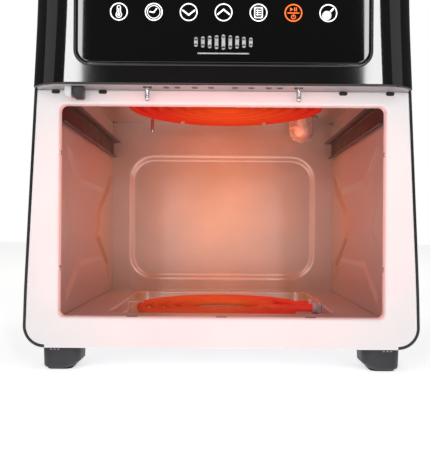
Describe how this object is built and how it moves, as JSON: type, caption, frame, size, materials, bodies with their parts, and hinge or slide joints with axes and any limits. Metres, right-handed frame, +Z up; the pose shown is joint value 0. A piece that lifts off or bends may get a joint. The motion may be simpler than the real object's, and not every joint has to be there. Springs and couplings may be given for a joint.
{
  "type": "air fryer oven",
  "caption": "Countertop air-fryer oven without its lift-off door: gloss hood with touch panel over a framed, heated cavity, with a convection fan, sprung door catches and a door switch.",
  "frame": {"origin": "on the surface the oven stands on, at the centre of its bounding box in plan", "axes": "+X to the right seen from the front, +Y to the back, +Z up"},
  "size_m": [0.3264, 0.322, 0.358],
  "materials": {
    "housing_black": "moulded gloss black plastic",
    "hood_gloss": "piano-black gloss plastic",
    "rear_black": "fine-textured moulded plastic",
    "frame_grey": "satin powder coat, near white",
    "plate_grey": "satin grey",
    "base_zinc": "zinc-plated sheet",
    "panel_glass": "polished tinted acrylic",
    "bezel": "gloss black with a bright bevel",
    "mark_white": "back-lit print",
    "mark_orange": "back-lit print",
    "mark_silver": "silver print",
    "liner_steel": "aluminised sheet steel, satin",
    "rail_dark": "dark heat-resisting coat",
    "heater_top": "heater tube at red heat",
    "heater_low": "heater tube at orange heat",
    "bracket_steel": "bright sheet steel",
    "ceramic_white": "unglazed heater ceramic",
    "board_green": "circuit board",
    "motor_iron": "laminated iron, lacquered",
    "bronze": "sintered bronze",
    "fan_alu": "pressed aluminium",
    "shaft_steel": "ground steel",
    "pin_steel": "polished steel",
    "lamp_glass": "clear heat-resisting glass",
    "bulb_glass": "frosted bulb",
    "switch_grey": "moulded light grey",
    "switch_dark": "moulded dark grey",
    "foot_grey": "moulded dark grey",
    "pad_rubber": "soft rubber",
    "screw_zinc": "zinc-plated screws"
  },
  "bodies": {
    "housing": {"side_cover_left": "housing_black", "side_cover_right": "housing_black", "top_cover": "housing_black", "rear_cover": "rear_black", "base_plate": "base_zinc", "front_frame": "frame_grey", "hood_front": "hood_gloss", "hood_floor": "plate_grey", "touch_panel": "panel_glass", "panel_bezel": "bezel", "control_icons": "mark_white", "start_icon": "mark_orange", "badge": "mark_silver", "display_digits": "mark_white", "control_board": "board_green", "liner_left": "liner_steel", "liner_right": "liner_steel", "liner_back": "liner_steel", "liner_ceiling": "liner_steel", "liner_floor": "liner_steel", "heater_well": "liner_steel", "rail_left": "rail_dark", "rail_right": "rail_dark", "top_heater": "heater_top", "top_heater_brackets": "bracket_steel", "lower_heater": "heater_low", "lower_heater_bracket": "bracket_steel", "lower_terminal_block": "ceramic_white", "fan_dome": "liner_steel", "motor_plate": "bracket_steel", "motor_stator": "motor_iron", "lower_bush": "bronze", "upper_bush": "bronze", "lamp_glass": "lamp_glass", "lamp_bulb": "bulb_glass", "lamp_socket": "ceramic_white", "temperature_probe": "bracket_steel", "thermal_cutout": "switch_dark", "interlock_housing": "switch_grey", "interlock_switch": "switch_dark", "catch_guides": "switch_dark", "foot_front_left": "foot_grey", "foot_front_right": "foot_grey", "foot_rear_left": "foot_grey", "foot_rear_right": "foot_grey", "foot_pads": "pad_rubber", "power_board": "board_green", "cord_gland": "switch_dark", "cover_screws": "screw_zinc", "liner_screws": "screw_zinc", "catch_spring_left": "shaft_steel", "catch_spring_right": "shaft_steel", "interlock_spring": "shaft_steel"},
    "fan_rotor": {"hot_fan": "fan_alu", "motor_shaft": "shaft_steel", "cooling_fan": "fan_alu", "motor_rotor": "motor_iron"},
    "catch_left": {"catch_pin_left": "pin_steel"},
    "catch_right": {"catch_pin_right": "pin_steel"},
    "door_plunger": {"interlock_actuator": "switch_dark"}
  },
  "joints": [
    {"name": "fan_spin", "type": "hinge", "parent": "housing", "child": "fan_rotor", "pos_m": [0, -0.0125, 0.3], "axis": [0, 0, 1], "continuous": true},
    {"name": "catch_left_slide", "type": "slide", "parent": "housing", "child": "catch_left", "axis": [0, 0, 1], "range_m": [0, 0.006], "stiffness_N_per_m": 300, "springref_m": -0.008, "deforming": ["catch_spring_left"]},
    {"name": "catch_right_slide", "type": "slide", "parent": "housing", "child": "catch_right", "axis": [0, 0, 1], "range_m": [0, 0.006], "stiffness_N_per_m": 300, "springref_m": -0.008, "deforming": ["catch_spring_right"]},
    {"name": "door_plunger_slide", "type": "slide", "parent": "housing", "child": "door_plunger", "axis": [0, 0, 1], "range_m": [0, 0.0035], "stiffness_N_per_m": 200, "springref_m": -0.006, "deforming": ["interlock_spring"]}
  ]
}
